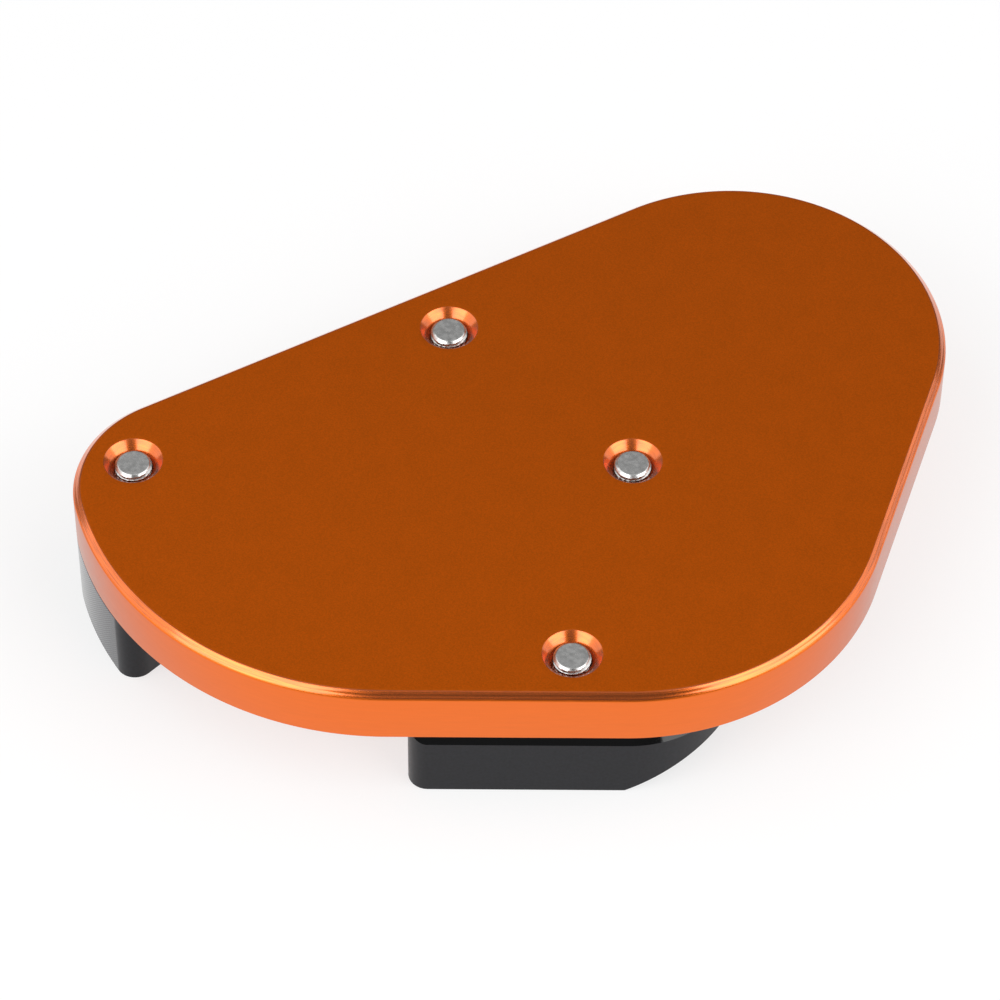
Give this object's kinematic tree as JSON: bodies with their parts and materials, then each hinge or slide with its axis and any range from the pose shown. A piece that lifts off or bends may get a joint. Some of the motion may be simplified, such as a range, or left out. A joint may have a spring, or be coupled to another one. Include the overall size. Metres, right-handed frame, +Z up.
{
  "type": "kickstand foot enlarger",
  "caption": "Rounded triangular plate bolted to a slotted collar that grips the foot of a motorbike's side stand, so that the stand bears on a wider area of soft ground.",
  "frame": {"origin": "under the middle of the plate's box, on the surface that the collar lies on when the ground face is up", "axes": "+Y along the slot towards its closed end and along the plate's longest extent, +Z up through the thickness to the ground face, +X to the right"},
  "size_m": [0.0934, 0.12, 0.0197],
  "materials": {
    "orange_anodised": "satin orange anodising",
    "black_anodised": "satin black anodising",
    "plated_steel": "bright zinc plating"
  },
  "bodies": {
    "root": {"base_plate": "orange_anodised", "collar": "black_anodised", "clamp_screws": "plated_steel"}
  },
  "joints": []
}
